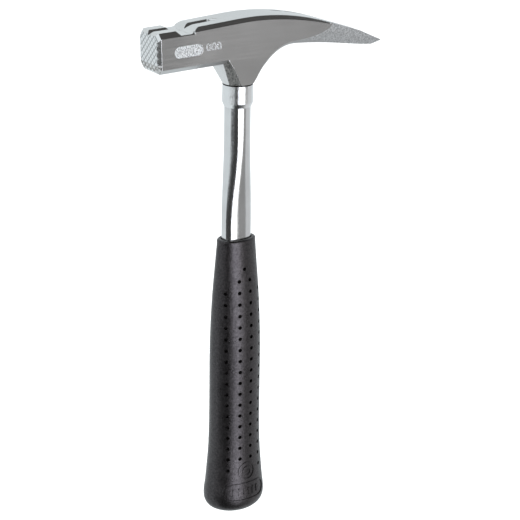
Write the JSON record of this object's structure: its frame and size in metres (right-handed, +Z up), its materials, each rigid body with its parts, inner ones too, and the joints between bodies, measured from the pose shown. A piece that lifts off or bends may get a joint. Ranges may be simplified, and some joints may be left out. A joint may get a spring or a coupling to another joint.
{
  "type": "roofing hammer",
  "caption": "Carpenter's roofing hammer with a milled striking face, magnetic nail groove, long spike, tubular steel shaft and perforated soft grip.",
  "frame": {"origin": "centre of the small flat under the butt of the grip, on the shaft's centre line", "axes": "+Z up the shaft towards the head, -X the way the striking face looks, +X towards the spike, Y across the cheeks"},
  "size_m": [0.1663, 0.0334, 0.3251],
  "materials": {
    "polished_head": "polished forged steel, milled face and ground spike",
    "magnet": "nickel-plated magnet",
    "plated_tube": "bright plated drawn tube",
    "bare_steel": "turned steel, hidden",
    "plug_plastic": "moulded black plastic, hidden",
    "grip_rubber": "black soft grip, satin, fine grain"
  },
  "bodies": {
    "root": {"hammer_head": "polished_head", "nail_magnet": "magnet", "collar_sleeve": "plated_tube", "shaft_tube": "plated_tube", "expander_plug": "bare_steel", "tube_end_plug": "plug_plastic", "grip_sleeve": "grip_rubber"}
  },
  "joints": []
}
